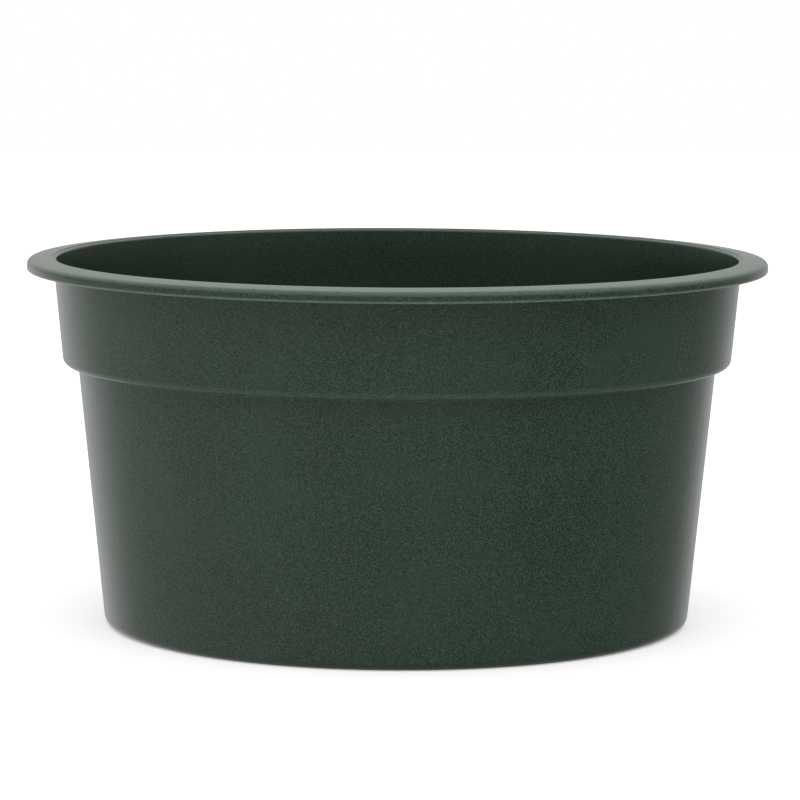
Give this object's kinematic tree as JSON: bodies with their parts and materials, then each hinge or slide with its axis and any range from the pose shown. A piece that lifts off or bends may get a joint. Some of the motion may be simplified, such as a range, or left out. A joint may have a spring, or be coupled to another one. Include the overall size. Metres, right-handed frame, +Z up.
{
  "type": "florist bucket",
  "caption": "Low round plastic bucket with a wide, slightly sloping rim turned down into a short skirt, a wide tapered collar, a stepped shoulder and a tapered lower wall on a foot ring, open at the top.",
  "frame": {"origin": "centre of the circle the bucket stands on", "axes": "+Z up along the bucket's axis; X and Y are alike because the bucket is round"},
  "size_m": [0.306, 0.306, 0.1524],
  "materials": {
    "green_plastic": "dark green moulded plastic with a fine grain and a low sheen"
  },
  "bodies": {
    "root": {"bucket": "green_plastic"}
  },
  "joints": []
}
